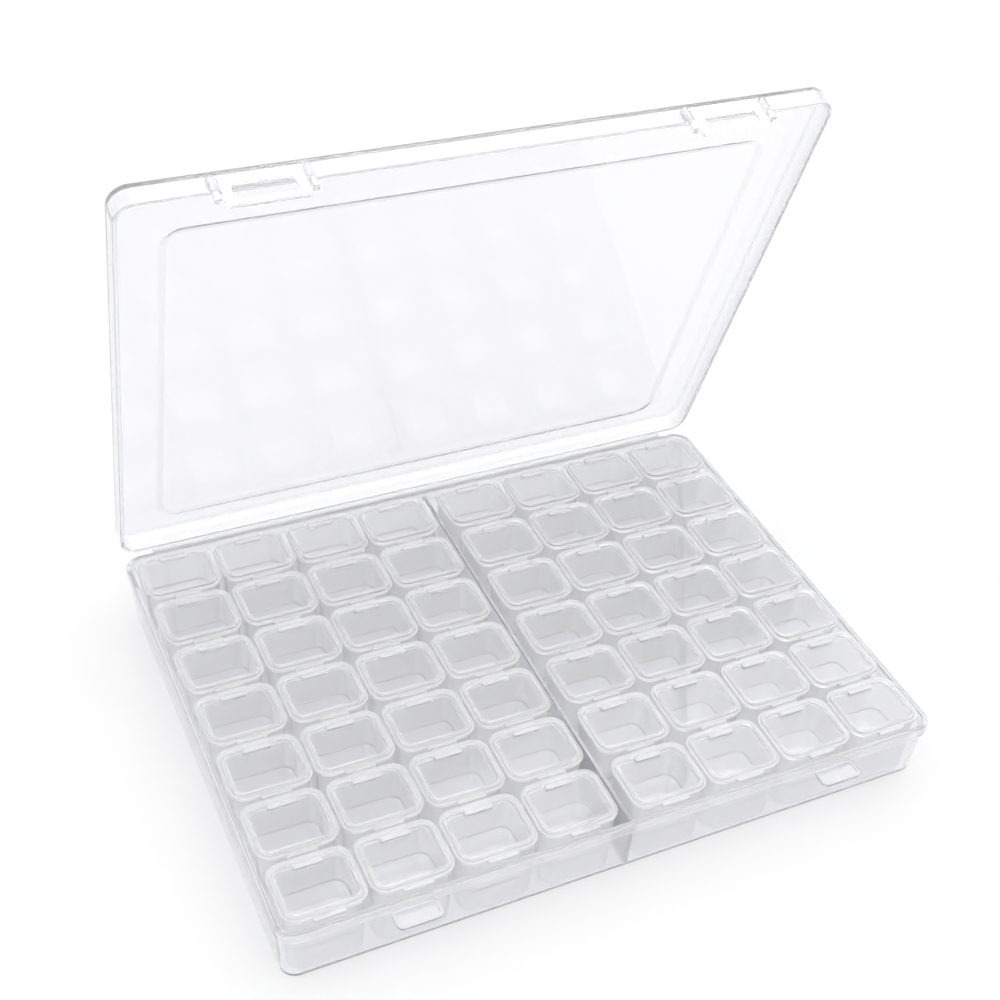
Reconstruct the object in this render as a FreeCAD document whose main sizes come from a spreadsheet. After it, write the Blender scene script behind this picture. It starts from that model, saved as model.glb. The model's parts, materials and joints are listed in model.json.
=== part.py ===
import FreeCAD, Part
import math
import os
import Sketcher

# Bead storage box: a clear hinged case that holds two banks of small containers with flip lids.
# Frame: origin at the centre of the case's underside, +X to the right, +Y to the hinge, +Z up.
# The case lid stands open at lid_open_angle and every flip lid is shut.

BANK_COLUMNS = 4
ROW_COUNT = 7
VECTOR = FreeCAD.Vector
SKETCH_ORIGIN = (-1, 1)
POINT = {"start": 1, "end": 2, "centre": 3}
LEVEL_TOLERANCE = 1e-4

# Driving sizes in millimetres and degrees: name, value, meaning.
SIZES = [
    ("column_pitch", 25.0, "left to right spacing of the containers"),
    ("row_pitch", 22.0, "front to back spacing of the containers"),
    ("bank_gap", 4.0, "strip left free between the two banks"),
    ("grid_play", 0.5, "clearance from the outer cells to the case wall"),
    ("case_wall", 1.2, "wall, floor and panel of the case"),
    ("case_draft", 1.0, "how far each wall leans in from the rim to the foot"),
    ("base_height", 21.2, "underside to rim of the case base"),
    ("rim_height", 3.6, "thick band at the top of the base's walls"),
    ("rim_proud", 0.6, "how far that band stands out from the wall"),
    ("corner_radius", 6.0, "outer corner of the rim in plan"),
    ("foot_radius", 0.6, "inner edge between floor and wall"),
    ("divider_thickness", 1.2, "wall between the two banks"),
    ("divider_drop", 1.0, "divider's top below the rim"),
    ("latch_offset", 67.0, "centre of each latch from the middle of the case"),
    ("catch_width", 13.5, "catch tab on the base"),
    ("catch_reach", 6.5, "how far the catch stands out in front"),
    ("catch_thickness", 1.0, "catch tab"),
    ("catch_corner", 1.5, "rounded corners of the catch"),
    ("lid_depth", 7.3, "case lid from its rim to the panel's outside"),
    ("lid_edge_radius", 1.0, "rounded edge around the panel"),
    ("rim_seat", 0.2, "gap between the two rims when the case is shut"),
    ("lid_open_angle", 72.0, "case lid at rest, from shut"),
    ("panel_side_inset", 14.3, "raised field from the lid's sides"),
    ("panel_front_inset", 19.0, "raised field from the lid's front edge"),
    ("panel_rear_inset", 8.0, "raised field from the lid's hinge edge"),
    ("panel_radius", 6.0, "corners of the raised field"),
    ("panel_step", 0.4, "height of the raised field"),
    ("hinge_offset", 0.9, "hinge axis behind the rear faces"),
    ("hinge_bead", 0.6, "radius of the hinge's bead"),
    ("hinge_web", 0.45, "web between the bead and the base"),
    ("hinge_end_inset", 10.0, "hinge's ends from the sides of the case"),
    ("tongue_width", 22.0, "latch tongue on the case lid"),
    ("tongue_drop", 6.6, "how far the tongue hangs below the lid's rim"),
    ("tongue_thickness", 1.3, "latch tongue"),
    ("tongue_gap", 0.3, "clearance from the tongue to the base's rim"),
    ("tongue_bar", 2.1, "bar that closes the tongue's slot"),
    ("slot_play", 1.45, "slot's clearance at each side of the catch"),
    ("latch_root", 4.0, "height of the block that carries tongue and ribs"),
    ("rib_offset", 12.5, "guard ribs from the centre of the latch"),
    ("rib_width", 1.8, "guard rib from side to side"),
    ("rib_depth", 1.8, "guard rib from front to back"),
    ("rib_drop", 4.7, "how far the ribs hang below the lid's rim"),
    ("cup_side_gap", 1.6, "gap between containers side by side"),
    ("cup_row_gap", 2.7, "gap between containers front to back"),
    ("cup_proud", 0.3, "container's mouth above the rim of the base"),
    ("cup_wall", 0.8, "wall and floor of a container"),
    ("cup_draft", 0.6, "how far a container's walls lean in to its foot"),
    ("cup_corner", 4.5, "outer corner of a container's mouth"),
    ("cup_floor_level", 8.5, "inside floor of a container above its foot"),
    ("strap_height", 1.2, "hinge ledge on the back of a container"),
    ("flip_side_gap", 0.5, "gap between flip lids side by side"),
    ("flip_row_gap", 1.6, "gap between flip lids front to back"),
    ("flip_seat", 0.1, "gap between a container's mouth and its lid"),
    ("flip_thickness", 1.4, "flip lid's raised rim"),
    ("lip_thickness", 0.8, "lower lip around that rim"),
    ("lip_width", 0.9, "how far the lip stands out from it"),
    ("flip_corner", 4.7, "flip lid's corners"),
    ("window_margin", 2.4, "flip lid's rim around the sunk window"),
    ("window_depth", 0.8, "how far the window is sunk"),
    ("land_width", 8.4, "hinge land at the back of the window"),
    ("land_length", 1.8, "hinge land, front to back"),
    ("finger_width", 9.0, "finger tab at the front of a flip lid"),
    ("finger_reach", 1.1, "how far the finger tab stands out"),
    ("finger_thickness", 0.8, "finger tab"),
    ("plug_depth", 1.0, "ring under the flip lid that enters the mouth"),
    ("plug_wall", 0.7, "that ring"),
    ("plug_play", 0.25, "clearance from the ring to the container"),
    ("knuckle_radius", 0.35, "round back edge that a flip lid turns on"),
]

# Sizes that follow from the driving ones.
INNER_WIDTH = f"({2 * BANK_COLUMNS} * Sizes.column_pitch + Sizes.bank_gap + 2 * Sizes.grid_play)"
INNER_LENGTH = f"({ROW_COUNT} * Sizes.row_pitch + 2 * Sizes.grid_play)"
SHELL = "(Sizes.case_wall + Sizes.rim_proud)"
CASE_WIDTH = f"({INNER_WIDTH} + 2 * {SHELL})"
CASE_LENGTH = f"({INNER_LENGTH} + 2 * {SHELL})"
INNER_RADIUS = f"(Sizes.corner_radius - {SHELL})"
FOOT_INSET = "(Sizes.rim_proud + Sizes.case_draft)"
CASE_TAPER = "atan(Sizes.case_draft / Sizes.base_height)"
CAVITY_LEAN = "(Sizes.case_draft * (1 - Sizes.case_wall / Sizes.base_height))"
RIM_LOW = "(Sizes.base_height - Sizes.rim_height)"
HINGE_Y = f"({CASE_LENGTH} / 2 + Sizes.hinge_offset)"
HINGE_Z = "(Sizes.base_height + Sizes.rim_seat / 2)"
LID_REAR = "(-Sizes.hinge_offset)"
LID_FRONT = f"(-Sizes.hinge_offset - {CASE_LENGTH})"
LID_RIM = "(Sizes.rim_seat / 2)"
LID_TOP = f"({LID_RIM} + Sizes.lid_depth)"
CUP_WIDTH = "(Sizes.column_pitch - Sizes.cup_side_gap)"
CUP_LENGTH = "(Sizes.row_pitch - Sizes.cup_row_gap)"
CUP_HEIGHT = "(Sizes.base_height + Sizes.cup_proud - Sizes.case_wall)"
CUP_TAPER = f"atan(Sizes.cup_draft / {CUP_HEIGHT})"
CUP_LEAN = f"(Sizes.cup_draft * (1 - Sizes.cup_floor_level / {CUP_HEIGHT}))"
FLIP_WIDTH = "(Sizes.column_pitch - Sizes.flip_side_gap)"
FLIP_LENGTH = "(Sizes.row_pitch - Sizes.flip_row_gap)"
FLIP_Z = "(Sizes.base_height + Sizes.cup_proud + Sizes.flip_seat)"
PLUG_INSET = "(Sizes.cup_wall + Sizes.plug_play)"


def make_sheet(doc):
    """Spreadsheet with one aliased cell for each driving size."""
    sheet = doc.addObject("Spreadsheet::Sheet", "Sizes")
    for row, (name, number, meaning) in enumerate(SIZES, start=1):
        sheet.set(f"A{row}", meaning)
        sheet.set(f"B{row}", str(number))
        sheet.setAlias(f"B{row}", name)
    doc.recompute()
    return sheet


def new_sketch(body, name, role, offset):
    """Sketch on one of the body's origin planes, moved along the plane's normal by offset."""
    plane = next(item for item in body.Origin.OriginFeatures if item.Role == role)
    sketch = body.newObject("Sketcher::SketchObject", name)
    sketch.AttachmentSupport = [(plane, "")]
    sketch.MapMode = "FlatFace"
    sketch.setExpression("AttachmentOffset.Base.z", offset)
    return sketch


def bind(sketch, kind, places, expression):
    """Dimension of the sketch that follows an expression."""
    number = float(sketch.evalExpression(expression))
    index = sketch.addConstraint(Sketcher.Constraint(kind, *places, number))
    sketch.setExpression(f"Constraints[{index}]", expression)


def bind_sides(sketch, lines, low_x, low_y, high_x, high_y):
    """Place the bottom, right, top and left lines of a rectangle from the sketch's origin."""
    bottom, right, top, left = lines
    sides = [("DistanceX", left, low_x), ("DistanceX", right, high_x)]
    sides += [("DistanceY", bottom, low_y), ("DistanceY", top, high_y)]
    for kind, line, expression in sides:
        bind(sketch, kind, (*SKETCH_ORIGIN, line, POINT["start"]), expression)


def square_up(sketch, lines):
    """Keep the four lines of a rectangle level and upright."""
    for index, line in enumerate(lines):
        sketch.addConstraint(Sketcher.Constraint("Vertical" if index % 2 else "Horizontal", line))


def rectangle(sketch, low_x, low_y, high_x, high_y):
    """Rectangle with sharp corners between two corner points given as expressions."""
    sides = [float(sketch.evalExpression(side)) for side in (low_x, low_y, high_x, high_y)]
    x0, y0, x1, y1 = sides
    corners = [VECTOR(x0, y0), VECTOR(x1, y0), VECTOR(x1, y1), VECTOR(x0, y1)]
    lines = [sketch.addGeometry(Part.LineSegment(corners[i], corners[(i + 1) % 4])) for i in range(4)]
    for i in range(4):
        joint = (lines[i], POINT["end"], lines[(i + 1) % 4], POINT["start"])
        sketch.addConstraint(Sketcher.Constraint("Coincident", *joint))
    square_up(sketch, lines)
    bind_sides(sketch, lines, low_x, low_y, high_x, high_y)


def rounded_rectangle(sketch, low_x, low_y, high_x, high_y, radius):
    """Rectangle between two corner points, with four equal tangent arcs for corners."""
    sides = [float(sketch.evalExpression(side)) for side in (low_x, low_y, high_x, high_y)]
    x0, y0, x1, y1 = sides
    r = float(sketch.evalExpression(radius))
    ends = [
        (VECTOR(x0 + r, y0), VECTOR(x1 - r, y0)),
        (VECTOR(x1, y0 + r), VECTOR(x1, y1 - r)),
        (VECTOR(x1 - r, y1), VECTOR(x0 + r, y1)),
        (VECTOR(x0, y1 - r), VECTOR(x0, y0 + r)),
    ]
    centres = [VECTOR(x1 - r, y0 + r), VECTOR(x1 - r, y1 - r), VECTOR(x0 + r, y1 - r), VECTOR(x0 + r, y0 + r)]
    lines = [sketch.addGeometry(Part.LineSegment(*pair)) for pair in ends]
    arcs = []
    for i, centre in enumerate(centres):
        start = (i - 1) * math.pi / 2
        circle = Part.Circle(centre, VECTOR(0, 0, 1), r)
        arcs.append(sketch.addGeometry(Part.ArcOfCircle(circle, start, start + math.pi / 2)))
    for i in range(4):
        sketch.addConstraint(Sketcher.Constraint("Tangent", lines[i], POINT["end"], arcs[i], POINT["start"]))
        following = lines[(i + 1) % 4]
        sketch.addConstraint(Sketcher.Constraint("Tangent", arcs[i], POINT["end"], following, POINT["start"]))
    square_up(sketch, lines)
    for arc in arcs[1:]:
        sketch.addConstraint(Sketcher.Constraint("Equal", arcs[0], arc))
    bind_sides(sketch, lines, low_x, low_y, high_x, high_y)
    bind(sketch, "Radius", (arcs[0],), radius)


def centred_outline(sketch, width, length, radius, inset="0"):
    """Rounded rectangle about the sketch's origin, drawn in by inset on every side."""
    half_x = f"({width} / 2 - {inset})"
    half_y = f"({length} / 2 - {inset})"
    rounded_rectangle(sketch, f"-{half_x}", f"-{half_y}", half_x, half_y, f"({radius} - {inset})")


def circle(sketch, centre_x, centre_y, radius):
    """Circle whose centre and radius are expressions."""
    place = VECTOR(float(sketch.evalExpression(centre_x)), float(sketch.evalExpression(centre_y)))
    index = sketch.addGeometry(Part.Circle(place, VECTOR(0, 0, 1), float(sketch.evalExpression(radius))))
    bind(sketch, "DistanceX", (*SKETCH_ORIGIN, index, POINT["centre"]), centre_x)
    bind(sketch, "DistanceY", (*SKETCH_ORIGIN, index, POINT["centre"]), centre_y)
    bind(sketch, "Radius", (index,), radius)


def extrude(body, kind, name, sketch, length, taper="0", against=False):
    """Pad or pocket of a sketch; against turns it round to the other side of the sketch."""
    feature = body.newObject(f"PartDesign::{kind}", name)
    feature.Profile = sketch
    feature.Reversed = against
    feature.setExpression("Length", length)
    feature.setExpression("TaperAngle", taper)
    body.Document.recompute()
    return feature


def round_level(body, name, level, radius):
    """Fillet every edge of the body that lies flat at one level."""
    base = body.Tip
    height = float(base.evalExpression(level))
    edges = []
    for number, edge in enumerate(base.Shape.Edges, start=1):
        box = edge.BoundBox
        if abs(box.ZMin - height) < LEVEL_TOLERANCE and abs(box.ZMax - height) < LEVEL_TOLERANCE:
            edges.append(f"Edge{number}")
    feature = body.newObject("PartDesign::Fillet", name)
    feature.Base = (base, edges)
    feature.setExpression("Radius", radius)
    body.Document.recompute()


def new_body(doc, name):
    """Body whose label names the sub-part."""
    body = doc.addObject("PartDesign::Body", name)
    body.Label = name
    return body


def make_case_base(doc):
    """Open tray with leaning walls, a thick rim, a divider and two catch tabs in front."""
    body = new_body(doc, "case_base")
    foot = new_sketch(body, "base_foot", "XY_Plane", "0")
    centred_outline(foot, CASE_WIDTH, CASE_LENGTH, "Sizes.corner_radius", FOOT_INSET)
    extrude(body, "Pad", "base_block", foot, "Sizes.base_height", CASE_TAPER)

    cavity = new_sketch(body, "base_cavity", "XY_Plane", "Sizes.case_wall")
    centred_outline(cavity, INNER_WIDTH, INNER_LENGTH, INNER_RADIUS, CAVITY_LEAN)
    depth = "(Sizes.base_height - Sizes.case_wall)"
    extrude(body, "Pocket", "base_hollow", cavity, depth, CASE_TAPER, against=True)
    round_level(body, "base_inner_foot", "Sizes.case_wall", "Sizes.foot_radius")
    round_level(body, "base_outer_foot", "0", "Sizes.foot_radius + Sizes.case_wall")

    rim = new_sketch(body, "base_rim", "XY_Plane", RIM_LOW)
    centred_outline(rim, CASE_WIDTH, CASE_LENGTH, "Sizes.corner_radius")
    centred_outline(rim, INNER_WIDTH, INNER_LENGTH, INNER_RADIUS)
    extrude(body, "Pad", "base_rim_band", rim, "Sizes.rim_height")

    divider = new_sketch(body, "base_divider", "XY_Plane", "Sizes.case_wall")
    half_x = "(Sizes.divider_thickness / 2)"
    half_y = f"({INNER_LENGTH} / 2)"
    rectangle(divider, f"-{half_x}", f"-{half_y}", half_x, half_y)
    divider_height = "(Sizes.base_height - Sizes.divider_drop - Sizes.case_wall)"
    extrude(body, "Pad", "base_divider_wall", divider, divider_height)

    catches = new_sketch(body, "base_catches", "XY_Plane", RIM_LOW)
    front = f"(-{CASE_LENGTH} / 2)"
    root = f"({front} + min(Sizes.catch_corner; {SHELL}))"
    for side in ("-1", "1"):
        left = f"({side} * Sizes.latch_offset - Sizes.catch_width / 2)"
        right = f"({left} + Sizes.catch_width)"
        rounded_rectangle(catches, left, f"({front} - Sizes.catch_reach)", right, root, "Sizes.catch_corner")
    extrude(body, "Pad", "base_catch_tabs", catches, "Sizes.catch_thickness")
    return body


def make_case_lid(doc):
    """Shallow lid drawn shut, with its origin on the hinge axis, then turned open about it."""
    body = new_body(doc, "case_lid")
    half = f"({CASE_WIDTH} / 2)"
    shell = new_sketch(body, "lid_outline", "XY_Plane", LID_RIM)
    rounded_rectangle(shell, f"-{half}", LID_FRONT, half, LID_REAR, "Sizes.corner_radius")
    extrude(body, "Pad", "lid_block", shell, "Sizes.lid_depth")
    round_level(body, "lid_edge", LID_TOP, "Sizes.lid_edge_radius")

    cavity = new_sketch(body, "lid_cavity", "XY_Plane", LID_RIM)
    wall = "Sizes.case_wall"
    inner = (f"(-{half} + {wall})", f"({LID_FRONT} + {wall})", f"({half} - {wall})", f"({LID_REAR} - {wall})")
    rounded_rectangle(cavity, *inner, f"(Sizes.corner_radius - {wall})")
    extrude(body, "Pocket", "lid_hollow", cavity, f"(Sizes.lid_depth - {wall})", against=True)

    field = new_sketch(body, "lid_field", "XY_Plane", LID_TOP)
    field_half = f"({half} - Sizes.panel_side_inset)"
    field_front = f"({LID_FRONT} + Sizes.panel_front_inset)"
    field_rear = f"({LID_REAR} - Sizes.panel_rear_inset)"
    rounded_rectangle(field, f"-{field_half}", field_front, field_half, field_rear, "Sizes.panel_radius")
    extrude(body, "Pad", "lid_raised_field", field, "Sizes.panel_step")

    add_latches(body)
    body.Placement = FreeCAD.Placement(VECTOR(), FreeCAD.Rotation(VECTOR(-1, 0, 0), 1))
    body.setExpression("Placement.Base.y", HINGE_Y)
    body.setExpression("Placement.Base.z", HINGE_Z)
    body.setExpression("Placement.Rotation.Angle", "Sizes.lid_open_angle")
    return body


def add_latches(body):
    """Two slotted tongues, each between two guard ribs, on a block on the lid's front wall."""
    face = f"(Sizes.tongue_gap - {LID_FRONT})"
    root_top = f"({LID_RIM} + Sizes.latch_root)"
    roots = new_sketch(body, "latch_roots", "XZ_Plane", face)
    tongues = new_sketch(body, "latch_tongues", "XZ_Plane", face)
    ribs = new_sketch(body, "latch_ribs", "XZ_Plane", face)
    tongue_low = f"({LID_RIM} - Sizes.tongue_drop)"
    rib_low = f"({LID_RIM} - Sizes.rib_drop)"
    root_half = "(Sizes.rib_offset + Sizes.rib_width / 2)"
    tongue_half = "(Sizes.tongue_width / 2)"
    slot_half = "(Sizes.catch_width / 2 + Sizes.slot_play)"
    for side in ("-1", "1"):
        middle = f"({side} * Sizes.latch_offset)"
        rectangle(roots, f"({middle} - {root_half})", LID_RIM, f"({middle} + {root_half})", root_top)
        tongue_sides = (f"({middle} - {tongue_half})", f"({middle} + {tongue_half})")
        rectangle(tongues, tongue_sides[0], tongue_low, tongue_sides[1], root_top)
        slot_sides = (f"({middle} - {slot_half})", f"({middle} + {slot_half})")
        rectangle(tongues, slot_sides[0], f"({tongue_low} + Sizes.tongue_bar)", slot_sides[1], LID_RIM)
        for hand in ("-1", "1"):
            rib_left = f"({middle} + {hand} * Sizes.rib_offset - Sizes.rib_width / 2)"
            rectangle(ribs, rib_left, rib_low, f"({rib_left} + Sizes.rib_width)", root_top)
    root_depth = "(Sizes.tongue_gap + Sizes.case_wall / 2)"
    extrude(body, "Pad", "latch_root_blocks", roots, root_depth, against=True)
    extrude(body, "Pad", "latch_tongue_loops", tongues, "Sizes.tongue_thickness")
    extrude(body, "Pad", "latch_guard_ribs", ribs, "Sizes.rib_depth")


def make_case_hinge(doc):
    """Round bead on the hinge axis, joined to the back of the base's rim by a thin web."""
    length = f"({CASE_WIDTH} - 2 * Sizes.hinge_end_inset)"
    bead = doc.addObject("Part::Cylinder", "hinge_bead")
    bead.Placement = FreeCAD.Placement(VECTOR(), FreeCAD.Rotation(VECTOR(0, 1, 0), 90))
    bead.setExpression("Radius", "Sizes.hinge_bead")
    bead.setExpression("Height", length)
    bead.setExpression("Placement.Base.x", f"-{length} / 2")
    bead.setExpression("Placement.Base.y", HINGE_Y)
    bead.setExpression("Placement.Base.z", HINGE_Z)
    web = doc.addObject("Part::Box", "hinge_web")
    web.setExpression("Length", length)
    web.setExpression("Width", "Sizes.hinge_offset")
    web.setExpression("Height", "Sizes.hinge_web")
    web.setExpression("Placement.Base.x", f"-{length} / 2")
    web.setExpression("Placement.Base.y", f"{CASE_LENGTH} / 2")
    web.setExpression("Placement.Base.z", f"{HINGE_Z} - Sizes.hinge_bead")
    hinge = doc.addObject("Part::Fuse", "case_hinge")
    hinge.Label = "case_hinge"
    hinge.Base = bead
    hinge.Tool = web
    return hinge


def make_container(doc):
    """One container about its cell's centre, standing on z = 0: a raised floor, hollow below, and a
    hinge ledge behind."""
    body = new_body(doc, "container")
    foot = new_sketch(body, "cup_foot", "XY_Plane", "0")
    centred_outline(foot, CUP_WIDTH, CUP_LENGTH, "Sizes.cup_corner", "Sizes.cup_draft")
    extrude(body, "Pad", "cup_block", foot, CUP_HEIGHT, CUP_TAPER)
    cavity = new_sketch(body, "cup_cavity", "XY_Plane", "Sizes.cup_floor_level")
    centred_outline(cavity, CUP_WIDTH, CUP_LENGTH, "Sizes.cup_corner", f"(Sizes.cup_wall + {CUP_LEAN})")
    depth = f"({CUP_HEIGHT} - Sizes.cup_floor_level)"
    extrude(body, "Pocket", "cup_hollow", cavity, depth, CUP_TAPER, against=True)
    recess = new_sketch(body, "cup_recess", "XY_Plane", "0")
    centred_outline(recess, CUP_WIDTH, CUP_LENGTH, "Sizes.cup_corner", "(Sizes.cup_wall + Sizes.cup_draft)")
    height = "(Sizes.cup_floor_level - Sizes.cup_wall)"
    extrude(body, "Pocket", "cup_hollow_foot", recess, height, CUP_TAPER, against=True)
    strap = new_sketch(body, "cup_strap", "XY_Plane", f"({CUP_HEIGHT} - Sizes.strap_height)")
    half = "(Sizes.land_width / 2)"
    rectangle(strap, f"-{half}", f"({CUP_LENGTH} / 2 - Sizes.cup_wall / 2)", half, f"({FLIP_LENGTH} / 2)")
    extrude(body, "Pad", "cup_hinge_ledge", strap, "Sizes.strap_height")
    return body


def make_flip_lid(doc):
    """One flip lid about its cell's centre, with the underside of its rim on z = 0."""
    body = new_body(doc, "flip_lid")
    lip = new_sketch(body, "flip_outline", "XY_Plane", "0")
    centred_outline(lip, FLIP_WIDTH, FLIP_LENGTH, "Sizes.flip_corner")
    extrude(body, "Pad", "flip_lip", lip, "Sizes.lip_thickness")
    rim = new_sketch(body, "flip_rim_outline", "XY_Plane", "0")
    centred_outline(rim, FLIP_WIDTH, FLIP_LENGTH, "Sizes.flip_corner", "Sizes.lip_width")
    extrude(body, "Pad", "flip_rim", rim, "Sizes.flip_thickness")
    window = new_sketch(body, "flip_window", "XY_Plane", "Sizes.flip_thickness")
    centred_outline(window, FLIP_WIDTH, FLIP_LENGTH, "Sizes.flip_corner", "Sizes.window_margin")
    extrude(body, "Pocket", "flip_sunk_window", window, "Sizes.window_depth")

    land = new_sketch(body, "flip_land", "XY_Plane", "(Sizes.flip_thickness - Sizes.window_depth)")
    land_half = "(Sizes.land_width / 2)"
    land_rear = f"({FLIP_LENGTH} / 2 - Sizes.window_margin)"
    rectangle(land, f"-{land_half}", f"({land_rear} - Sizes.land_length)", land_half, f"({FLIP_LENGTH} / 2)")
    extrude(body, "Pad", "flip_hinge_land", land, "Sizes.window_depth")

    finger = new_sketch(body, "flip_finger", "XY_Plane", "0")
    finger_half = "(Sizes.finger_width / 2)"
    flip_front = f"(-{FLIP_LENGTH} / 2)"
    finger_root = f"({flip_front} + Sizes.window_margin / 2)"
    rectangle(finger, f"-{finger_half}", f"({flip_front} - Sizes.finger_reach)", finger_half, finger_root)
    extrude(body, "Pad", "flip_finger_tab", finger, "Sizes.finger_thickness")

    plug = new_sketch(body, "flip_plug", "XY_Plane", "0")
    centred_outline(plug, CUP_WIDTH, CUP_LENGTH, "Sizes.cup_corner", PLUG_INSET)
    centred_outline(plug, CUP_WIDTH, CUP_LENGTH, "Sizes.cup_corner", f"({PLUG_INSET} + Sizes.plug_wall)")
    extrude(body, "Pad", "flip_plug_ring", plug, "Sizes.plug_depth", against=True)

    knuckle = new_sketch(body, "flip_knuckle", "YZ_Plane", f"-{land_half}")
    axis_z = "(Sizes.flip_thickness - Sizes.knuckle_radius)"
    circle(knuckle, f"({FLIP_LENGTH} / 2)", axis_z, "Sizes.knuckle_radius")
    extrude(body, "Pad", "flip_hinge_knuckle", knuckle, "Sizes.land_width")
    return body


def cells():
    """Row and column of every container, with expressions for its centre: row 1 in front."""
    for row in range(1, ROW_COUNT + 1):
        y = f"({row - (ROW_COUNT + 1) / 2} * Sizes.row_pitch)"
        for column in range(1, 2 * BANK_COLUMNS + 1):
            side = -1 if column <= BANK_COLUMNS else 1
            steps = column - BANK_COLUMNS - 0.5
            x = f"({steps} * Sizes.column_pitch + {side} * Sizes.bank_gap / 2)"
            yield row, column, x, y


def place_copy(doc, original, name, x, y, z):
    """Copy of a prototype body at a place given by three expressions."""
    copy = doc.addObject("App::Link", name)
    copy.Label = name
    copy.LinkedObject = original
    for axis, expression in (("x", x), ("y", y), ("z", z)):
        copy.setExpression(f"Placement.Base.{axis}", expression)
    return copy


def make_containers(doc):
    """All the containers as one group of separate solids on the floor of the base."""
    original = make_container(doc)
    group = doc.addObject("Part::Compound", "containers")
    group.Label = "containers"
    copies = []
    for row, column, x, y in cells():
        copies.append(place_copy(doc, original, f"container_r{row}_c{column}", x, y, "Sizes.case_wall"))
    group.Links = copies
    return group


def make_flip_lids(doc):
    """One flip lid on each container, each a sub-part of its own."""
    original = make_flip_lid(doc)
    return [place_copy(doc, original, f"flip_lid_r{row}_c{column}", x, y, FLIP_Z) for row, column, x, y in cells()]


def check_document(doc, sub_parts):
    """Stop if an object failed to compute or a sub-part's shape is missing or invalid."""
    for item in doc.Objects:
        if "Invalid" in item.State or "Error" in item.State:
            raise RuntimeError(f"{item.Name} failed: {item.State}")
    for item in sub_parts:
        shape = Part.getShape(item)
        if shape.isNull() or not shape.isValid():
            raise RuntimeError(f"{item.Label} has no valid shape")


def main():
    doc = FreeCAD.newDocument("BeadStorageBox")
    make_sheet(doc)
    sub_parts = [make_case_base(doc), make_case_lid(doc), make_case_hinge(doc), make_containers(doc)]
    sub_parts += make_flip_lids(doc)
    doc.recompute()
    check_document(doc, sub_parts)
    os.makedirs("parts", exist_ok=True)
    for item in sub_parts:
        shape = Part.getShape(item)
        shape.exportStep(f"parts/{item.Label}.step")
        print(item.Label, len(shape.Solids), round(shape.Volume, 2))


main()
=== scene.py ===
"""Looks of a bead storage box: a clear hinged case with 56 small containers that have flip lids.

Shapes are worked out in millimetres, in the frame of the CAD part, and become metres in the meshes.
"""

import json
import math

import bpy
import numpy as np
from mathutils import Matrix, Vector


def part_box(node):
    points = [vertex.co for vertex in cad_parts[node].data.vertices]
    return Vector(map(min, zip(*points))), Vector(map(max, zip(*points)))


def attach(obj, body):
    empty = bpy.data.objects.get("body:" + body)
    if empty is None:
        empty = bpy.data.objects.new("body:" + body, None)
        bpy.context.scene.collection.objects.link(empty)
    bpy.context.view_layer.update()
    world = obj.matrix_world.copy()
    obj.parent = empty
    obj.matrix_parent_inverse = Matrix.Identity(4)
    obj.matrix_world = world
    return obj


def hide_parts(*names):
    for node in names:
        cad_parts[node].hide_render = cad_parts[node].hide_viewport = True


MM = 0.001

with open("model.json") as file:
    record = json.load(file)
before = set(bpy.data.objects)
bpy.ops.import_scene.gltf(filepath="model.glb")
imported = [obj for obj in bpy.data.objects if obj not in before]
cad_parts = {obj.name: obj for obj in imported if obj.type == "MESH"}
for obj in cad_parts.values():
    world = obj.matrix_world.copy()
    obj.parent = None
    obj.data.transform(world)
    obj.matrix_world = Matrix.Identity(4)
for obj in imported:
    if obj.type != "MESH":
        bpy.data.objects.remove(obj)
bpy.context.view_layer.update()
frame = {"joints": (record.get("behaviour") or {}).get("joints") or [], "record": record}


def box_mm(node):
    """Lowest and highest corner of a CAD node in millimetres."""
    low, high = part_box(node)
    return np.array(low) / MM, np.array(high) / MM


# Sizes taken from the frame.
BASE_LOW, BASE_HIGH = box_mm("case_base")
FLIP_LOW, FLIP_HIGH = box_mm("flip_lid_r1_c1")
CUPS_LOW, CUPS_HIGH = box_mm("containers")
HALF_WIDTH = BASE_HIGH[0]
HALF_LENGTH = BASE_HIGH[1]
RIM_TOP = BASE_HIGH[2]
CATCH_FRONT = BASE_LOW[1]
LID_JOINT = frame["joints"][0]
FLIP_JOINTS = frame["joints"][1:]
HINGE_Y = LID_JOINT["pos_m"][1] / MM
HINGE_Z = LID_JOINT["pos_m"][2] / MM
LID_OPEN = -LID_JOINT["range_deg"][0]
BODIES = frame["record"]["behaviour"]["bodies"]

# Sizes in millimetres that the frame's boxes don't give.
WALL = 1.2
SHELL = 1.8
DRAFT = 1.0
RIM_HEIGHT = 3.6
RIM_PROUD = 0.6
RIM_RADIUS = 0.5
FOOT_RADIUS = 1.8
INNER_FOOT_RADIUS = 0.6
FLAT_RING = 2.6
EDGE = 0.3
CREASE = 0.15
SHELL_POINTS = (9, 9, 10)
CORNER = 6.0
DIVIDER = 1.2
DIVIDER_TOP = RIM_TOP - 1.0
LATCH_X = 67.0
CATCH_WIDTH = 13.5
CATCH_THICKNESS = 1.0
CATCH_CORNER = 1.9
CATCH_RING = 2.4
CATCH_LIP = (0.9, 1.1)
CATCH_SINK = 0.45
LID_RIM = 0.1
LID_TOP = 7.4
LID_RING = 3.0
LID_EDGE_RADIUS = 1.0
FIELD_INSETS = (14.3, 19.0, 8.0)
FIELD_STEP = 0.4
FIELD_CORNER = 6.0
FIELD_RAMP = 0.8
FIELD_RAMP_END = 1.8
FIELD_RAMP_RADIUS = 0.9
HINGE_BEAD = 0.6
HINGE_WEB = 0.45
HINGE_HALF = HALF_WIDTH - 10.0
BEAD_ARC = (-160, 130)
BEAD_POINTS = 14
TONGUE_HALF = 11.0
TONGUE_GAP = 0.3
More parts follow.
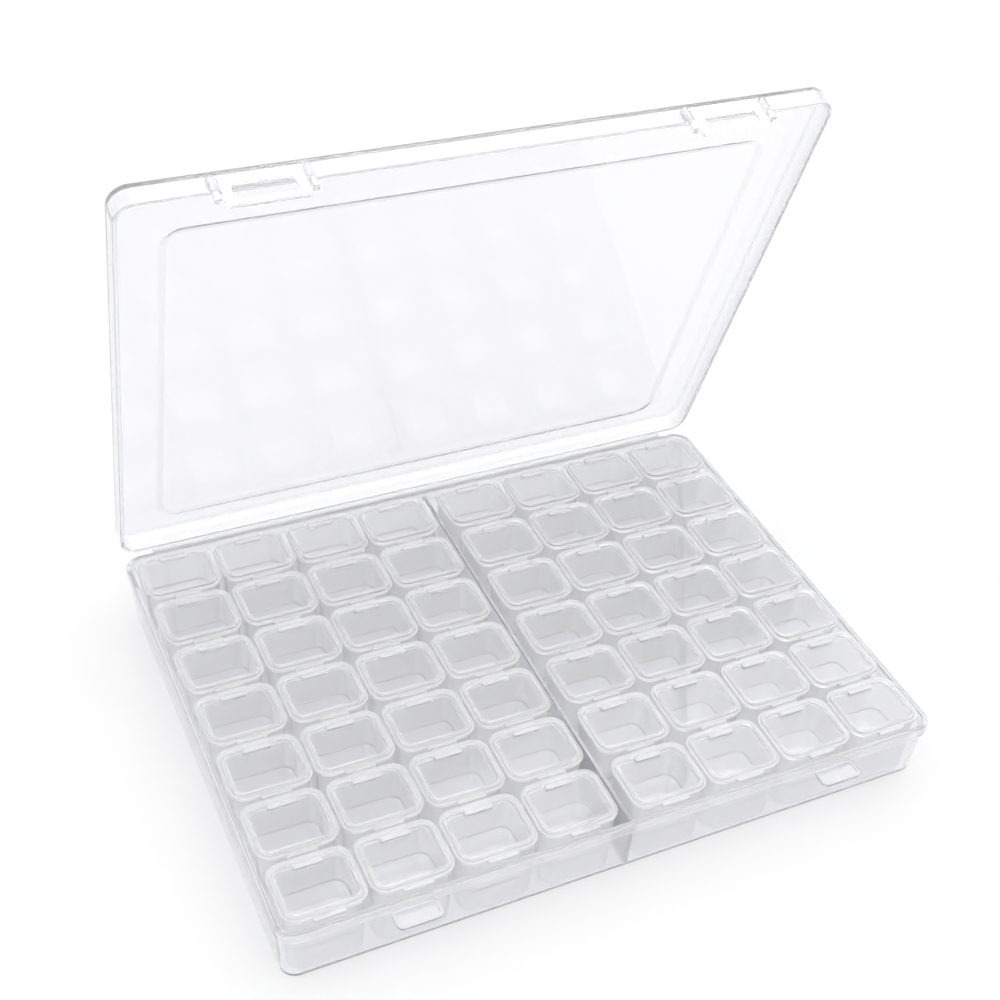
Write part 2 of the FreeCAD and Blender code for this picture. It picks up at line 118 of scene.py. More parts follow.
TONGUE_THICK = 1.3
TONGUE_LOW = LID_RIM - 6.6
TONGUE_BAR = 2.1
SLOT_HALF = 8.2
TONGUE_CORNER = 1.2
SLOT_CORNER = 0.6
ROOT_TOP = LID_RIM + 4.0
RIB_X = 12.5
RIB_HALF = 0.9
RIB_DEPTH = 1.8
RIB_EDGE = 0.4
FINE_EDGE = 0.1
RIB_LOW = LID_RIM - 4.7
CUP_HALF = (11.7, 9.65)
CUP_CORNER = 4.5
CUP_WALL = 0.8
CUP_DRAFT = 0.6
CUP_HEIGHT = CUPS_HIGH[2] - CUPS_LOW[2]
CUP_FLOOR = 8.5
CUP_RING = 4.2
CUP_MOUTH_RADIUS = 0.22
CUP_FLOOR_RADIUS = 0.5
CUP_CLEAR_INSET = 1.75
CUP_CLEAR_FADE = 0.4
STRAP_HALF = 4.2
STRAP_HEIGHT = 1.2
FLIP_HALF = (12.25, 10.2)
FLIP_CORNER = 4.7
FLIP_THICK = 1.4
FLIP_PLUG = 1.0
PLUG_INSETS = (1.6, 2.3)
FLIP_RING = 3.3
FLIP_CLEAR_INSET = 3.0
FLIP_CLEAR_FADE = 0.5
RIM_MILK = 0.5
LIP_HEIGHT = 0.8
LIP_WIDTH = 0.9
WINDOW_MARGIN = 2.4
WINDOW_TOP = 0.6
LAND_HALF = 4.2
LAND_LENGTH = 1.8
FINGER_HALF = 4.5
FINGER_REACH = 1.1
FINGER_PLACES = (0.0, 2.2, 3.8, 4.1, 4.2, 4.35, 4.5, 4.65, 4.85)
FLIP_Z = FLIP_HIGH[2] - FLIP_THICK
SOFT_EDGE = 0.3
# Reach of the painted highlights: edges are made cloudier and lighter.
PAINTED_HIGHLIGHT_REACH = 0.8
FITTING_MILK = 0.1
BASE_MILK = 0.2
# Strength of the painted highlight along the ramp up to the lid's raised field.
FIELD_PAINTED_HIGHLIGHT = 0.7
BURIED = 0.03

# Plastic.
PLASTIC_IOR = 1.49
BROAD_SCALE = 35.0
FINE_SCALE = 240.0
TINT_WANDER = 0.12
RIPPLE = 0.03
RIPPLE_DEPTH = 0.0004

# Studio.
PAPER = (0.92, 0.92, 0.92, 1.0)
FLOOR_HALF = 4000.0
FLOOR_POINTS = 9
FLOOR_DROP = 0.2
WHITE = (1.0, 1.0, 1.0, 1.0)
FLOOR_GLOW = 0.03
SKY_STRENGTH = 0.86
HORIZON = (0.95, 0.952, 0.97, 1.0)
KEY_ENERGY = 0.82
BACKDROP = (0.99, 0.99, 1.0, 1.0)
SUN_WIDTH = 60.0
SUN_TURN = (-6.0, 24.0, 0.0)
CAMERA_TURN = (29.25, 41.48, 5.94)
CAMERA_PLACE = (-0.1698, -0.3104, 0.3635)
CAMERA_LENS = 56.38
CAMERA_SHIFT = (-0.036, 0.071)


def rounded(corners, steps=3, support=0.12):
    """Open profile through corners (inset, height, radius): a corner with a radius becomes a circular
    arc tangent to both neighbours, and a support point beside each arc keeps the straight parts flat."""
    points = [np.array(corner[:2], float) for corner in corners]
    chunks = [points[0][None]]
    for before, here, after, corner in zip(points, points[1:], points[2:], corners[1:]):
        radius = corner[2]
        back = (before - here) / np.linalg.norm(before - here)
        ahead = (after - here) / np.linalg.norm(after - here)
        half = math.acos(np.clip(back @ ahead, -1.0, 1.0)) / 2
        middle = (back + ahead) / np.linalg.norm(back + ahead)
        centre = here + middle * radius / math.sin(half)
        start = here + back * radius / math.tan(half) - centre
        turn = math.pi - 2 * half
        turn *= -np.sign(back[0] * ahead[1] - back[1] * ahead[0])
        angles = np.linspace(0.0, turn, steps + 1)
        x = centre[0] + start[0] * np.cos(angles) - start[1] * np.sin(angles)
        y = centre[1] + start[0] * np.sin(angles) + start[1] * np.cos(angles)
        chunks.append(np.stack([x, y], 1))
    chunks.append(points[-1][None])
    parts = [chunks[0]]
    for first, second in zip(chunks, chunks[1:]):
        along = second[0] - first[-1]
        length = np.linalg.norm(along)
        if length > 3 * support:
            step = along / length * support
            parts.append(np.stack([first[-1] + step, second[0] - step]))
        parts.append(second)
    return np.concatenate(parts)


def outline(half_x, half_y, radius, front, side, arc):
    """Rounded rectangles, one for each entry of the half sizes and radii, anticlockwise from the front
    left: front and side hold the places of points along the straight parts, from -1 to 1."""
    half_x, half_y, radius = np.broadcast_arrays(*(np.atleast_1d(a).astype(float)[:, None]
                                                   for a in (half_x, half_y, radius)))
    straight_x = half_x - radius
    straight_y = half_y - radius
    turn = np.linspace(0.0, math.pi / 2, arc + 1)[1:-1]
    sine = radius * np.sin(turn)
    cosine = radius * np.cos(turn)
    level = np.ones_like(front)
    upright = np.ones_like(side)
    x = [straight_x * front, straight_x + sine, half_x * upright, straight_x + cosine,
         -straight_x * front, -straight_x - sine, -half_x * upright, -straight_x - cosine]
    y = [-half_y * level, -straight_y - cosine, straight_y * side, straight_y + sine,
         half_y * level, straight_y + cosine, -straight_y * side, -straight_y - sine]
    return np.stack([np.concatenate(x, 1), np.concatenate(y, 1)], 2)


def carry(profile, half_x, half_y, radius, front=5, side=5, arc=6, smallest=0.05):
    """Rings of points: the profile's insets shrink a rounded rectangle and its heights lift it."""
    front = np.linspace(-1, 1, front) if np.isscalar(front) else front
    side = np.linspace(-1, 1, side) if np.isscalar(side) else side
    inset = profile[:, 0]
    corner = np.maximum(radius - inset, smallest)
    flat = outline(half_x - inset, half_y - inset, corner, front, side, arc)
    height = np.broadcast_to(profile[:, 1, None, None], flat.shape[:2] + (1,))
    return np.concatenate([flat, height], 2)


def skin(rings, closed=False):
    """Vertices and faces of a surface over rings: quads between neighbours, and a flat face on the
    first and the last ring unless the rings run round in a closed loop."""
    count, around = rings.shape[:2]
    index = np.arange(count * around).reshape(count, around)
    lower = index if closed else index[:-1]
    upper = np.roll(index, -1, 0) if closed else index[1:]
    quads = np.stack([lower, np.roll(lower, -1, 1), np.roll(upper, -1, 1), upper], -1)
    faces = quads.reshape(-1, 4).tolist()
    if not closed:
        faces.append(index[0][::-1].tolist())
        faces.append(index[-1].tolist())
    return rings.reshape(-1, 3), faces


def slab(low, high, corner, edge):
    """Block between two corners with rounded upright corners and rounded level edges."""
    low = np.array(low, float)
    high = np.array(high, float)
    half = (high - low) / 2
    reach = edge + 0.3 * min(half[0] - edge, half[1] - edge)
    profile = rounded([(reach, low[2]), (0, low[2], edge), (0, high[2], edge), (reach, high[2])])
    rings = carry(profile, half[0], half[1], corner, 3, 3, 4)
    rings[..., :2] += (low[:2] + high[:2]) / 2
    return skin(rings)


def shifted(shape, move):
    """The same vertices and faces, moved."""
    return shape[0] + np.array(move), shape[1]


def piece(name, shapes, body, nodes, material, milk_and_painted_light=None):
    """One smooth mesh from several closed shapes in millimetres, riding on a CAD body and standing
    for CAD nodes; milk says for each vertex how cloudy the plastic is there, and with it where highlights
    and shade are painted."""
    vertices = np.concatenate([shape[0] for shape in shapes]) * MM
    faces = []
    start = 0
    for points, shape_faces in shapes:
        faces += [[start + i for i in face] for face in shape_faces]
        start += len(points)
    mesh = bpy.data.meshes.new(name)
    mesh.from_pydata(vertices.tolist(), [], faces)
    mesh.shade_smooth()
    mesh.materials.append(material)
    milk_and_painted_light = np.ones(len(vertices)) if milk_and_painted_light is None else milk_and_painted_light
    mesh.attributes.new("milk_and_painted_light", "FLOAT", "POINT").data.foreach_set("value", milk_and_painted_light.astype(np.float32))
    obj = bpy.data.objects.new(name, mesh)
    bpy.context.scene.collection.objects.link(obj)
    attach(obj, body)
    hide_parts(*nodes)
    return obj


def moulded_plastic(name, tints, clearness, roughness, shadow):
    """Clear or cloudy moulded plastic: the milk attribute leads from the first to the second tint and
    clearness, which paints highlights on cloudier edges and shade on the containers' floors; tint and gloss
    wander a little, the surface ripples faintly, and lamps shine through with the shadow colour."""
    material = bpy.data.materials.new(name)
    material.use_nodes = True
    nodes = material.node_tree.nodes
    links = material.node_tree.links
    nodes.clear()
    out = nodes.new("ShaderNodeOutputMaterial")
    shader = nodes.new("ShaderNodeBsdfPrincipled")
    shader.inputs["IOR"].default_value = PLASTIC_IOR
    milk_and_painted_light = nodes.new("ShaderNodeAttribute")
    milk_and_painted_light.attribute_name = "milk_and_painted_light"
    clear = nodes.new("ShaderNodeMapRange")
    clear.inputs["To Min"].default_value = clearness[0]
    clear.inputs["To Max"].default_value = clearness[1]
    links.new(milk_and_painted_light.outputs["Fac"], clear.inputs["Value"])
    links.new(clear.outputs["Result"], shader.inputs["Transmission Weight"])
    place = nodes.new("ShaderNodeTexCoord")
    broad = nodes.new("ShaderNodeTexNoise")
    broad.inputs["Scale"].default_value = BROAD_SCALE
    broad.inputs["Detail"].default_value = 2.0
    fine = nodes.new("ShaderNodeTexNoise")
    fine.inputs["Scale"].default_value = FINE_SCALE
    fine.inputs["Detail"].default_value = 3.0
    tone = nodes.new("ShaderNodeMix")
    tone.data_type = "RGBA"
    tone.inputs["A"].default_value = (*tints[0], 1.0)
    tone.inputs["B"].default_value = (*tints[1], 1.0)
    wander = nodes.new("ShaderNodeMapRange")
    wander.inputs["To Min"].default_value = -TINT_WANDER
    wander.inputs["To Max"].default_value = TINT_WANDER
    blend = nodes.new("ShaderNodeMath")
    blend.operation = "ADD"
    blend.use_clamp = True
    gloss = nodes.new("ShaderNodeMapRange")
    gloss.inputs["To Min"].default_value = roughness[0]
    gloss.inputs["To Max"].default_value = roughness[1]
    bump = nodes.new("ShaderNodeBump")
    bump.inputs["Strength"].default_value = RIPPLE
    bump.inputs["Distance"].default_value = RIPPLE_DEPTH
    links.new(place.outputs["Object"], broad.inputs["Vector"])
    links.new(place.outputs["Object"], fine.inputs["Vector"])
    links.new(broad.outputs["Fac"], wander.inputs["Value"])
    links.new(wander.outputs["Result"], blend.inputs[0])
    links.new(milk_and_painted_light.outputs["Fac"], blend.inputs[1])
    links.new(blend.outputs["Value"], tone.inputs["Factor"])
    links.new(fine.outputs["Fac"], gloss.inputs["Value"])
    links.new(broad.outputs["Fac"], bump.inputs["Height"])
    links.new(tone.outputs["Result"], shader.inputs["Base Color"])
    links.new(gloss.outputs["Result"], shader.inputs["Roughness"])
    links.new(bump.outputs["Normal"], shader.inputs["Normal"])
    through = nodes.new("ShaderNodeBsdfTransparent")
    through.inputs["Color"].default_value = (*shadow, 1.0)
    path = nodes.new("ShaderNodeLightPath")
    mix = nodes.new("ShaderNodeMixShader")
    links.new(path.outputs["Is Shadow Ray"], mix.inputs["Fac"])
    links.new(shader.outputs["BSDF"], mix.inputs[1])
    links.new(through.outputs["BSDF"], mix.inputs[2])
    links.new(mix.outputs["Shader"], out.inputs["Surface"])
    return material


def painted_edge_highlight(profile, edges, around):
    """Painted highlights on edges, given as cloudiness of rings: 1 where the profile passes one of the
    edges, falling off with the square of the distance as a bell curve does."""
    gaps = np.linalg.norm(profile[:, None] - np.array(edges)[None], axis=2)
    return np.repeat(np.exp(-(gaps.min(1) / PAINTED_HIGHLIGHT_REACH) ** 2), around)


def milk_and_painted_highlight_of_all(shapes, milk_and_painted_light):
    """Cloudiness of a shell's vertices, painted edge highlights included, then that of its fittings."""
    return np.concatenate([milk_and_painted_light] + [np.full(len(shape[0]), FITTING_MILK) for shape in shapes[1:]])


def base_shell():
    """Tray of the case: underside, rounded foot, leaning wall, rim band, rim, inner wall and floor."""
    lean = DRAFT / RIM_TOP
    rim_low = RIM_TOP - RIM_HEIGHT
    foot = RIM_PROUD + DRAFT
    inner_foot = SHELL + DRAFT - lean * WALL
    flat = foot + FLAT_RING
    profile = rounded([
        (flat, 0.0), (foot, 0.0, FOOT_RADIUS), (foot - lean * rim_low, rim_low, CREASE), (0.0, rim_low, EDGE),
        (0.0, RIM_TOP, RIM_RADIUS), (SHELL, RIM_TOP, RIM_RADIUS), (inner_foot, WALL, INNER_FOOT_RADIUS),
        (flat, WALL),
    ], 5)
    rings = carry(profile, HALF_WIDTH, HALF_LENGTH, CORNER, *SHELL_POINTS)
    # Painted highlights: the rim's edges are made cloudier and lighter than the rest of the tray.
    milk_and_painted_light = painted_edge_highlight(profile, [(0.0, rim_low), (0.0, RIM_TOP), (SHELL, RIM_TOP)], rings.shape[1])
    return skin(rings), np.maximum(milk_and_painted_light, BASE_MILK)


def catch_tab(x):
    """Catch on the front of the rim band: a flat tab with a raised lip round its upper face."""
    low = RIM_TOP - RIM_HEIGHT
    high = low + CATCH_THICKNESS
    rear = -HALF_LENGTH + BURIED
    sunk = high - CATCH_SINK
    profile = rounded([
        (CATCH_RING, low), (0.0, low, EDGE), (0.0, high, 0.25), (CATCH_LIP[0], high, 0.2),
        (CATCH_LIP[1], sunk, CREASE), (CATCH_RING, sunk),
    ])
    rings = carry(profile, CATCH_WIDTH / 2, (rear - CATCH_FRONT) / 2, CATCH_CORNER, 5, 5, 5, 0.2)
    return shifted(skin(rings), (x, (rear + CATCH_FRONT) / 2, 0.0))


def base_shapes():
    """The tray, the dividing wall and both catches."""
    half_wall = HALF_LENGTH - SHELL
    half = DIVIDER / 2
    wall = slab((-half, -half_wall, WALL - BURIED), (half, half_wall, DIVIDER_TOP), FINE_EDGE, EDGE)
    shell, milk_and_painted_light = base_shell()
    shapes = [shell, wall, catch_tab(-LATCH_X), catch_tab(LATCH_X)]
    return shapes, milk_and_painted_highlight_of_all(shapes, milk_and_painted_light)


def lid_shell():
    """Lid drawn shut about the hinge axis: inside of the raised field, inside of the panel, inner wall,
    rim, outer wall, panel edge, and rings that step up to the raised field."""
    ceiling = LID_TOP - WALL
    profile = rounded([
        (LID_RING, ceiling), (WALL, ceiling, 0.5), (WALL, LID_RIM, 0.25), (0.0, LID_RIM, EDGE),
        (0.0, LID_TOP, LID_EDGE_RADIUS), (LID_RING, LID_TOP),
    ], 5)
    shell = carry(profile, HALF_WIDTH, HALF_LENGTH, CORNER, *SHELL_POINTS)
    side, front, rear = FIELD_INSETS
    step = rounded([
        (-FIELD_RAMP_END, 0.0), (-FIELD_RAMP, 0.0, FIELD_RAMP_RADIUS),
        (FIELD_RAMP, FIELD_STEP, FIELD_RAMP_RADIUS), (FIELD_RAMP_END, FIELD_STEP),
    ], 5)
    half_length = HALF_LENGTH - (front + rear) / 2
    field = carry(step, HALF_WIDTH - side, half_length, FIELD_CORNER, *SHELL_POINTS)
    field += (0.0, (front - rear) / 2, LID_TOP)
    hollow = field[::-1] - (0.0, 0.0, WALL)
    rings = np.concatenate([hollow, shell, field])
    rings[..., 1] -= HINGE_Y
    around = rings.shape[1]
    # Painted highlights: the edges of the rim and of the panel are made cloudier and lighter.
    milk_and_painted_light = painted_edge_highlight(profile, [(0.0, LID_RIM), (WALL, LID_RIM), (0.0, LID_TOP)], around)
    # Painted highlight along the ramp up to the raised field.
    ramp = FIELD_PAINTED_HIGHLIGHT * painted_edge_highlight(step, [(0.0, FIELD_STEP / 2)], around)
    return skin(rings), np.concatenate([ramp[::-1], milk_and_painted_light, ramp])


def tongue(x):
    """Slotted latch tongue: a loop between an outer and an inner rounded rectangle, with bevelled
    edges, standing in front of the lid's front wall."""
    front = -HINGE_Y - HALF_LENGTH - TONGUE_GAP - TONGUE_THICK
    rear = front + TONGUE_THICK
    outer = ((ROOT_TOP - TONGUE_LOW) / 2, (ROOT_TOP + TONGUE_LOW) / 2)
    slot_low = TONGUE_LOW + TONGUE_BAR
    inner = ((LID_RIM - slot_low) / 2, (LID_RIM + slot_low) / 2)
    rings = []
    places = np.linspace(-1, 1, 5)
    turn = np.linspace(0.0, math.pi / 2, 4)
    loops = ((TONGUE_HALF, outer, TONGUE_CORNER, 1), (SLOT_HALF, inner, SLOT_CORNER, -1))
    for half_x, (half_z, middle), radius, sign in loops:
        inset = sign * EDGE * np.concatenate([1 - np.sin(turn), 1 - np.cos(turn)])
        depth = np.concatenate([front + EDGE * (1 - np.cos(turn)), rear - EDGE * (1 - np.sin(turn))])
        if sign < 0:
            depth = depth[::-1]
            inset = inset[::-1]
        corner = radius - sign * 0.5 * np.abs(inset)
        flat = outline(half_x - inset, half_z - inset, corner, places, places, 5)
        rings.append(np.stack([x + flat[..., 0], np.broadcast_to(depth[:, None], flat.shape[:2]),
                               middle + flat[..., 1]], 2))
    return skin(np.concatenate(rings), closed=True)


def lid_shapes():
    """Lid shell and both latches, turned open about the hinge axis."""
    wall_front = -HINGE_Y - HALF_LENGTH
    face = wall_front - TONGUE_GAP
    root_half = RIB_X + RIB_HALF
    shell, milk_and_painted_light = lid_shell()
    shapes = [shell]
    for x in (-LATCH_X, LATCH_X):
        root_low = (x - root_half, face, LID_RIM + FINE_EDGE)
        root_high = (x + root_half, wall_front + BURIED, ROOT_TOP)
        shapes.append(slab(root_low, root_high, FINE_EDGE, FINE_EDGE))
        shapes.append(shifted(tongue(x), (0.0, BURIED, 0.0)))
        for rib in (x - RIB_X, x + RIB_X):
            rib_low = (rib - RIB_HALF, face - RIB_DEPTH, RIB_LOW)
            rib_high = (rib + RIB_HALF, face + BURIED, ROOT_TOP)
            shapes.append(slab(rib_low, rib_high, RIB_EDGE, RIB_EDGE))
    angle = math.radians(LID_OPEN)
    opened = []
    for points, faces in shapes:
        y = HINGE_Y + points[:, 1] * math.cos(angle) + points[:, 2] * math.sin(angle)
        z = HINGE_Z - points[:, 1] * math.sin(angle) + points[:, 2] * math.cos(angle)
        opened.append((np.stack([points[:, 0], y, z], 1), faces))
    return opened, milk_and_painted_highlight_of_all(opened, milk_and_painted_light)


def hinge_shape():
    """Hinge strip: a bead's circle joined to a flat web, carried along the hinge axis."""
    turn = np.linspace(*np.radians(BEAD_ARC), BEAD_POINTS)
    bead_y = HINGE_Y + HINGE_BEAD * np.cos(turn)
    bead_z = HINGE_Z + HINGE_BEAD * np.sin(turn)
    low = HINGE_Z - HINGE_BEAD
    rear = HALF_LENGTH + BURIED
    y = np.concatenate([bead_y, [rear, rear]])
    z = np.concatenate([bead_z, [low + HINGE_WEB, low + FINE_EDGE]])
    x = np.array([-HINGE_HALF, -HINGE_HALF + EDGE, 0.0, HINGE_HALF - EDGE, HINGE_HALF])
    rings = np.stack(np.broadcast_arrays(x[:, None], y[None], z[None]), 2)
    return skin(rings)


def cup():
    """One container about its cell's centre: underside of the raised floor, hollow foot, leaning wall,
    mouth, inner wall and floor, with the hinge ledge behind its mouth."""
    lean = CUP_DRAFT / CUP_HEIGHT
    inner = CUP_WALL + CUP_DRAFT
    under = CUP_FLOOR - CUP_WALL
    profile = rounded([
        (CUP_RING, under), (inner - lean * under, under, EDGE), (inner, BURIED, 0.2),
        (CUP_DRAFT, BURIED, EDGE), (0.0, CUP_HEIGHT, CUP_MOUTH_RADIUS),
        (CUP_WALL, CUP_HEIGHT, CUP_MOUTH_RADIUS),
        (inner - lean * CUP_FLOOR, CUP_FLOOR, CUP_FLOOR_RADIUS), (CUP_RING, CUP_FLOOR),
    ], 4)
    rings = carry(profile, *CUP_HALF, CUP_CORNER, 3, 3, 6)
    body = skin(rings)
    # The floor stays clear and takes the material's first, darker tint: painted shade on the containers'
    # floors.
    milk_and_painted_light = np.clip((CUP_CLEAR_INSET - profile[:, 0]) / CUP_CLEAR_FADE, 0.0, 1.0)
    milk_and_painted_light = np.repeat(milk_and_painted_light, rings.shape[1])
    ledge_low = (-STRAP_HALF, CUP_HALF[1] - BURIED, CUP_HEIGHT - STRAP_HEIGHT)
    ledge = slab(ledge_low, (STRAP_HALF, FLIP_HALF[1], CUP_HEIGHT - 0.05), 0.1, 0.12)
    return [body, ledge], np.concatenate([milk_and_painted_light, np.ones(len(ledge[0]))])


def soft_width(x, half):
    """1 within half of the middle, 0 outside, with a soft step between."""
    ramp = np.clip((half + SOFT_EDGE / 2 - np.abs(x)) / SOFT_EDGE, 0.0, 1.0)
    return ramp * ramp * (3 - 2 * ramp)


def flip_lid():
    """One flip lid about its cell's centre: window, plug ring, lip, raised rim and sunk window; the lip
    runs out to a finger tab in front and the rim comes in as a hinge land behind."""
    near, far = PLUG_INSETS
    profile = rounded([
        (FLIP_RING, 0.0), (far, 0.0, CREASE), (far, -FLIP_PLUG, 0.2), (near, -FLIP_PLUG, 0.2),
        (near, 0.0, FINE_EDGE), (0.0, 0.0, 0.25), (0.0, LIP_HEIGHT, 0.35), (LIP_WIDTH, LIP_HEIGHT, 0.12),
        (LIP_WIDTH, FLIP_THICK, EDGE), (WINDOW_MARGIN, FLIP_THICK, EDGE), (WINDOW_MARGIN, WINDOW_TOP, CREASE),
        (FLIP_RING, WINDOW_TOP),
    ])
    straight = FLIP_HALF[0] - FLIP_CORNER
    half = np.array([*FINGER_PLACES, straight]) / straight
    places = np.concatenate([-half[:0:-1], half])
    rings = carry(profile, *FLIP_HALF, FLIP_CORNER, places, 3, 6)
    inset = profile[:, 0, None]
    height = profile[:, 1, None]
    order = np.arange(len(profile))[:, None] / (len(profile) - 1)
    x = rings[..., 0]
    y = rings[..., 1]
    lip = (inset < 0.55) & (height > -0.05)
    finger = lip & (y < -FLIP_HALF[1] + 0.6)
    rings[..., 1] -= np.where(finger, FINGER_REACH * soft_width(x, FINGER_HALF), 0.0)
    window = (inset > WINDOW_MARGIN - 0.35) & (order > 0.5)
    land = window & (y > FLIP_HALF[1] - 3.6)
    rings[..., 1] -= np.where(land, LAND_LENGTH * soft_width(x, LAND_HALF), 0.0)
    strap = (inset < LIP_WIDTH + 0.2) & (height > 0.3) & (y > FLIP_HALF[1] - 1.2)
    lift = np.where(strap, (FLIP_THICK - LIP_HEIGHT - 0.02) * soft_width(x, LAND_HALF), 0.0)
    rings[..., 2] = np.minimum(rings[..., 2] + lift, FLIP_THICK)
    rim = np.clip((FLIP_CLEAR_INSET - profile[:, 0]) / FLIP_CLEAR_FADE, 0.0, RIM_MILK)
    rim = np.repeat(rim, rings.shape[1])
    # Painted highlights: the lip's and the rim's edges are made cloudier and lighter, over the rim's own
    # cloudiness.
    edges = [(0.0, LIP_HEIGHT), (0.0, 0.0), (LIP_WIDTH, FLIP_THICK), (WINDOW_MARGIN, FLIP_THICK)]
    return skin(rings), np.maximum(rim, painted_edge_highlight(profile, edges, rings.shape[1]))


def white_floor():
    """Wide pale floor just under the case."""
    places = np.linspace(-FLOOR_HALF, FLOOR_HALF, FLOOR_POINTS)
    x, y = np.meshgrid(places, places)
    points = np.stack([x, y, np.full_like(x, -FLOOR_DROP)], 2).reshape(-1, 3) * MM
    index = np.arange(FLOOR_POINTS ** 2).reshape(FLOOR_POINTS, FLOOR_POINTS)
    quads = np.stack([index[:-1, :-1], index[:-1, 1:], index[1:, 1:], index[1:, :-1]], -1).reshape(-1, 4)
    mesh = bpy.data.meshes.new("studio_floor")
    mesh.from_pydata(points.tolist(), [], quads.tolist())
    material = bpy.data.materials.new("studio_paper")
    material.use_nodes = True
    nodes = material.node_tree.nodes
    links = material.node_tree.links
    shader = nodes["Principled BSDF"]
    shader.inputs["Base Color"].default_value = PAPER
    shader.inputs["Roughness"].default_value = 0.8
    shader.inputs["Specular IOR Level"].default_value = 0.0
    shader.inputs["Emission Color"].default_value = WHITE
    path = nodes.new("ShaderNodeLightPath")
    seen = nodes.new("ShaderNodeMath")
    seen.operation = "SUBTRACT"
    seen.inputs[0].default_value = 1.0
    glow = nodes.new("ShaderNodeMath")
    glow.operation = "MULTIPLY"
    glow.inputs[1].default_value = FLOOR_GLOW
    links.new(path.outputs["Is Diffuse Ray"], seen.inputs[1])
    links.new(seen.outputs["Value"], glow.inputs[0])
    links.new(glow.outputs["Value"], shader.inputs["Emission Strength"])
    mesh.materials.append(material)
    floor = bpy.data.objects.new("studio_floor", mesh)
    bpy.context.scene.collection.objects.link(floor)


def white_room():
    """World light: plain white, a little weaker towards the horizon, with a plain backdrop where it is
    seen directly, mirrored or through the plastic."""
    world = bpy.data.worlds.new("studio_room")
    bpy.context.scene.world = world
    world.use_nodes = True
    nodes = world.node_tree.nodes
    links = world.node_tree.links
    nodes.clear()
    out = nodes.new("ShaderNodeOutputWorld")
    light = nodes.new("ShaderNodeBackground")
    place = nodes.new("ShaderNodeTexCoord")
    split = nodes.new("ShaderNodeSeparateXYZ")
    ramp = nodes.new("ShaderNodeValToRGB")
    ramp.color_ramp.elements[0].position = 0.0
    ramp.color_ramp.elements[0].color = HORIZON
    ramp.color_ramp.elements[1].position = 0.75
    ramp.color_ramp.elements[1].color = WHITE
    links.new(place.outputs["Generated"], split.inputs["Vector"])
    links.new(split.outputs["Z"], ramp.inputs["Fac"])
    links.new(ramp.outputs["Color"], light.inputs["Color"])
    light.inputs["Strength"].default_value = SKY_STRENGTH
    backdrop = nodes.new("ShaderNodeBackground")
    path = nodes.new("ShaderNodeLightPath")
    mix = nodes.new("ShaderNodeMixShader")
    shiny = nodes.new("ShaderNodeMath")
    shiny.operation = "MAXIMUM"
    links.new(path.outputs["Is Glossy Ray"], shiny.inputs[0])
    links.new(path.outputs["Is Transmission Ray"], shiny.inputs[1])
    seen = nodes.new("ShaderNodeMath")
    seen.operation = "MAXIMUM"
    links.new(path.outputs["Is Camera Ray"], seen.inputs[0])
    links.new(shiny.outputs["Value"], seen.inputs[1])
    links.new(seen.outputs["Value"], mix.inputs["Fac"])
    links.new(light.outputs["Background"], mix.inputs[1])
    links.new(backdrop.outputs["Background"], mix.inputs[2])
    backdrop.inputs["Color"].default_value = BACKDROP
    links.new(mix.outputs["Shader"], out.inputs["Surface"])


def lamps():
    """Soft, wide sun from above, leaning to the right."""
    data = bpy.data.lights.new("key_light", "SUN")
    data.energy = KEY_ENERGY
    data.angle = math.radians(SUN_WIDTH)
    lamp = bpy.data.objects.new("key_light", data)
    lamp.rotation_euler = tuple(math.radians(turn) for turn in SUN_TURN)
    bpy.context.scene.collection.objects.link(lamp)


def photo_camera():
    """Camera at the photograph's place: it looks right and down at the case, turned a little."""
    azimuth, elevation, roll = np.radians(CAMERA_TURN)
    forward = np.array([math.sin(azimuth) * math.cos(elevation), math.cos(azimuth) * math.cos(elevation),
                        -math.sin(elevation)])
    level = np.cross(forward, (0.0, 0.0, 1.0))
    level /= np.linalg.norm(level)
    rise = np.cross(level, forward)
    right = math.cos(roll) * level + math.sin(roll) * rise
    up = math.cos(roll) * rise - math.sin(roll) * level
    data = bpy.data.cameras.new("camera")
    data.lens = CAMERA_LENS
    data.shift_x, data.shift_y = CAMERA_SHIFT
    data.clip_start = 0.01
    camera = bpy.data.objects.new("camera", data)
    turn = Matrix(np.stack([right, up, -forward], 1).tolist()).to_4x4()
    camera.matrix_world = Matrix.Translation(CAMERA_PLACE) @ turn
    bpy.context.scene.collection.objects.link(camera)
    bpy.context.scene.camera = camera


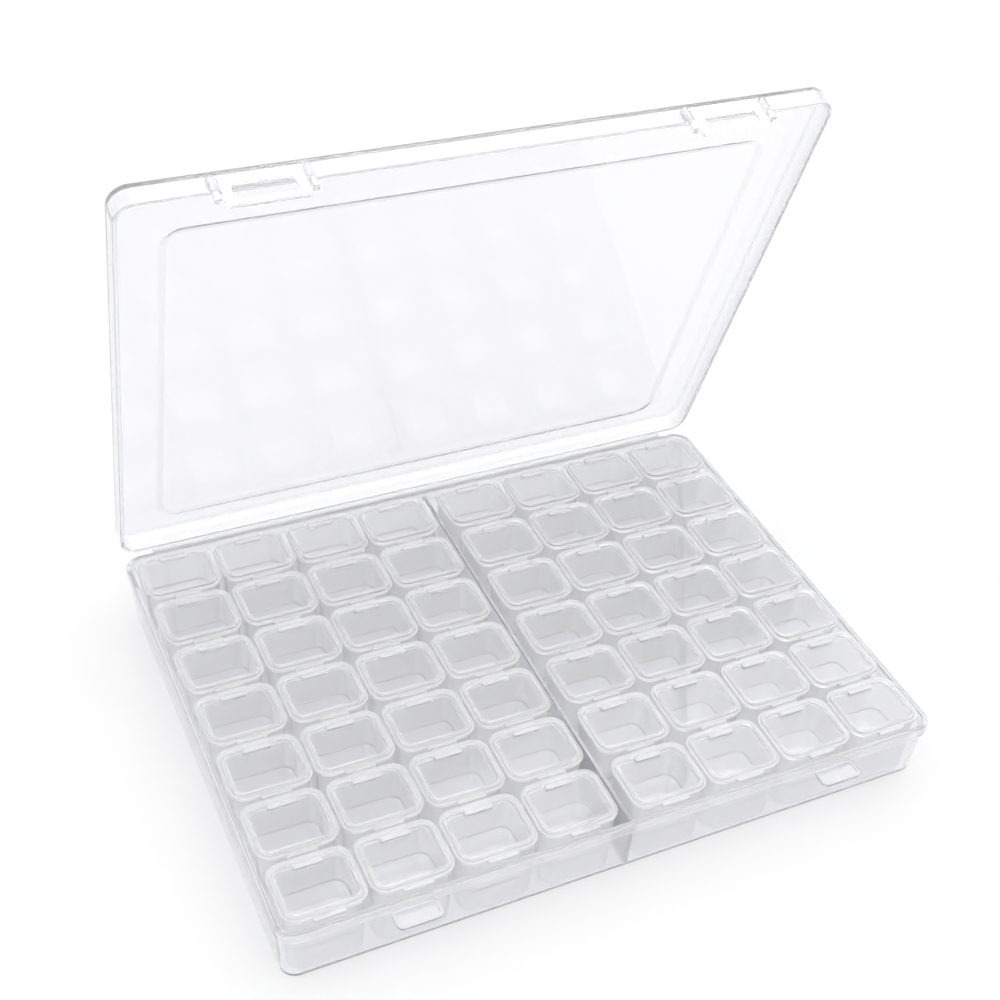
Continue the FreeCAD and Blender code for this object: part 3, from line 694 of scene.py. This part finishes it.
def containers(material):
    """Every container as one piece, with the cells' centres taken from the flip lids' hinges."""
    shapes = []
    one, milk_and_painted_light = cup()
    for joint in FLIP_JOINTS:
        x, y = joint["pos_m"][0] / MM, joint["pos_m"][1] / MM - FLIP_HALF[1]
        shapes += [shifted(shape, (x, y, CUPS_LOW[2])) for shape in one]
    milk_and_painted_light = np.tile(milk_and_painted_light, len(FLIP_JOINTS))
    piece("container_cups", shapes, "base", ["containers"], material, milk_and_painted_light)


def flip_lids(material):
    """One flip lid for each container, riding on its own body."""
    shape, milk_and_painted_light = flip_lid()
    for joint in FLIP_JOINTS:
        x, y = joint["pos_m"][0] / MM, joint["pos_m"][1] / MM - FLIP_HALF[1]
        body = joint["child"]
        cover = [shifted(shape, (x, y, FLIP_Z))]
        piece(body + "_cover", cover, body, BODIES[body], material, milk_and_painted_light)


def render_settings():
    """Enough bounces for many layers of clear plastic, and plain colours."""
    scene = bpy.context.scene
    scene.cycles.max_bounces = 32
    scene.cycles.transmission_bounces = 20
    scene.cycles.transparent_max_bounces = 48
    scene.cycles.diffuse_bounces = 12
    scene.cycles.glossy_bounces = 12
    scene.view_settings.view_transform = "Standard"


# The case's lighter second tint goes to the cloudier edges, so it is part of the painted highlights.
clear = moulded_plastic(
    "clear_case", ((0.965, 0.965, 0.985), (0.99, 0.99, 1.0)), (0.96, 0.6), (0.04, 0.08), (0.99, 0.99, 0.992))
# The containers' first tint, the darker one, is painted shade on their clear floors; the walls take the
# second.
milky = moulded_plastic(
    "container_plastic", ((0.93, 0.93, 0.945), (0.998, 0.998, 1.0)), (0.95, 0.66), (0.1, 0.18),
    (0.995, 0.995, 0.996))
cover = moulded_plastic(
    "flip_lid_plastic", ((0.99, 0.99, 0.995), (0.995, 0.995, 1.0)), (0.98, 0.74), (0.03, 0.07),
    (0.995, 0.995, 0.996))
tray, tray_milk_and_painted_highlight = base_shapes()
piece("case_base_tray", tray, "base", ["case_base"], clear, tray_milk_and_painted_highlight)
lid, lid_milk_and_painted_highlight = lid_shapes()
piece("case_lid_cover", lid, "lid", ["case_lid"], clear, lid_milk_and_painted_highlight)
piece("case_hinge_strip", [hinge_shape()], "base", ["case_hinge"], clear)
containers(milky)
flip_lids(cover)
white_floor()
white_room()
lamps()
photo_camera()
render_settings()
